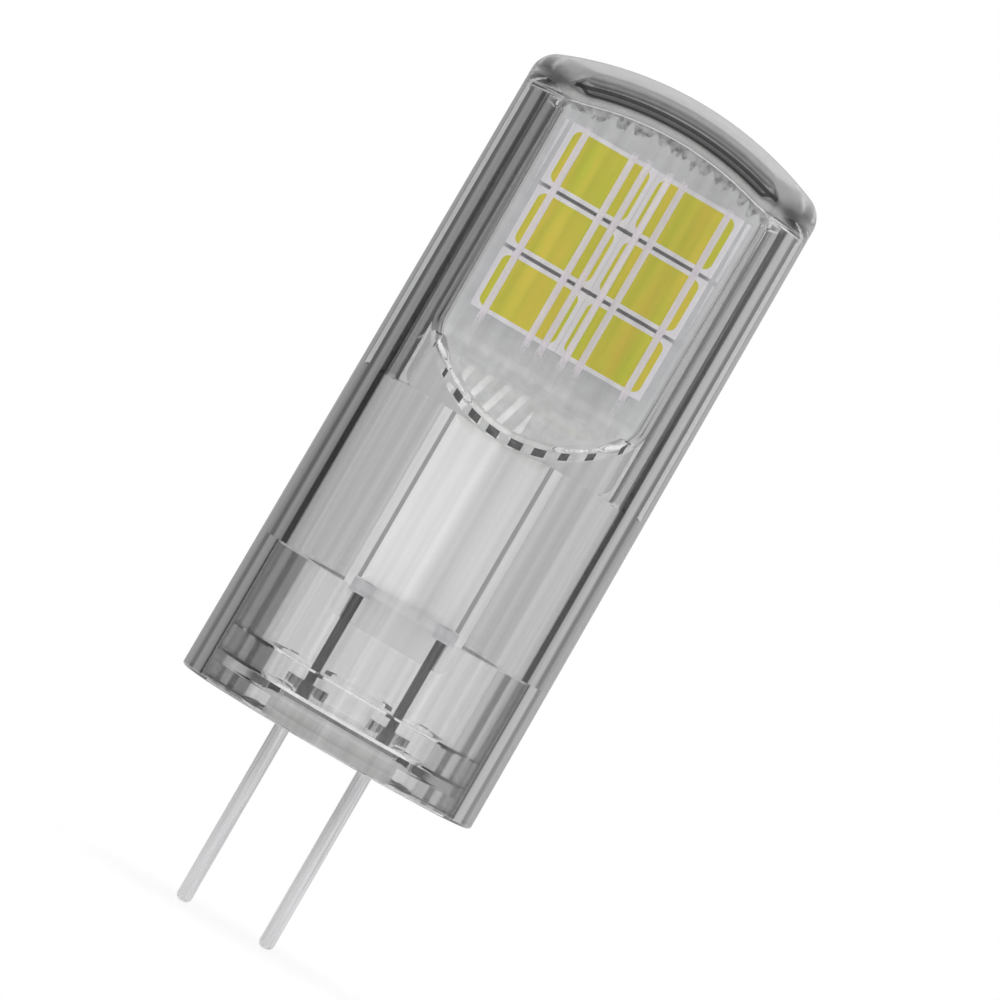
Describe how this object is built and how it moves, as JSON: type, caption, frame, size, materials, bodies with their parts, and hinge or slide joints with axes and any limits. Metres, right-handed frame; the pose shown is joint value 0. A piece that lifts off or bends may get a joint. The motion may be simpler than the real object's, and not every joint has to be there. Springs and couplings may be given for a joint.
{
  "type": "led capsule bulb",
  "caption": "Two-pin LED capsule lamp with a clear moulded capsule, flat windows over a white LED board, a clear base plug and straight contact pins.",
  "frame": {"origin": "centre of the base's seating face, midway between the two contact pins", "axes": "+Z along the lamp's axis towards the crown, X through the two contact pins, LED windows facing -Y and +Y"},
  "size_m": [0.014, 0.014, 0.0401],
  "materials": {
    "clear_capsule": "clear moulded polycarbonate, polished inside and out",
    "clear_plug": "clear moulded polycarbonate with fine mould marks",
    "sealant": "white silicone sealing compound",
    "contact_pin": "bright tin plate, drawn wire",
    "board": "white solder mask over glass laminate",
    "led_package": "white reflective moulding",
    "led_phosphor": "yellow phosphor in clear silicone",
    "driver_cover": "white moulded cover, satin",
    "black_moulding": "black epoxy moulding",
    "inductor_core": "sintered ferrite",
    "capacitor_body": "ceramic body",
    "resistor_body": "glazed chip resistor",
    "solder": "reflowed solder"
  },
  "bodies": {
    "root": {"base_plug": "clear_plug", "base_sealant": "sealant", "bridge_rectifier": "black_moulding", "capsule_shell": "clear_capsule", "circuit_board": "board", "contact_pin_left": "contact_pin", "contact_pin_right": "contact_pin", "driver_chip": "black_moulding", "driver_cover_back": "driver_cover", "driver_cover_front": "driver_cover", "led_package_back_1_1": "led_package", "led_package_back_1_2": "led_package", "led_package_back_2_1": "led_package", "led_package_back_2_2": "led_package", "led_package_back_3_1": "led_package", "led_package_back_3_2": "led_package", "led_package_front_1_1": "led_package", "led_package_front_1_2": "led_package", "led_package_front_2_1": "led_package", "led_package_front_2_2": "led_package", "led_package_front_3_1": "led_package", "led_package_front_3_2": "led_package", "led_phosphor_back_1_1": "led_phosphor", "led_phosphor_back_1_2": "led_phosphor", "led_phosphor_back_2_1": "led_phosphor", "led_phosphor_back_2_2": "led_phosphor", "led_phosphor_back_3_1": "led_phosphor", "led_phosphor_back_3_2": "led_phosphor", "led_phosphor_front_1_1": "led_phosphor", "led_phosphor_front_1_2": "led_phosphor", "led_phosphor_front_2_1": "led_phosphor", "led_phosphor_front_2_2": "led_phosphor", "led_phosphor_front_3_1": "led_phosphor", "led_phosphor_front_3_2": "led_phosphor", "power_inductor": "inductor_core", "sense_resistor_1": "resistor_body", "sense_resistor_2": "resistor_body", "smoothing_capacitor": "capacitor_body", "solder_joint_left": "solder", "solder_joint_right": "solder"}
  },
  "joints": []
}
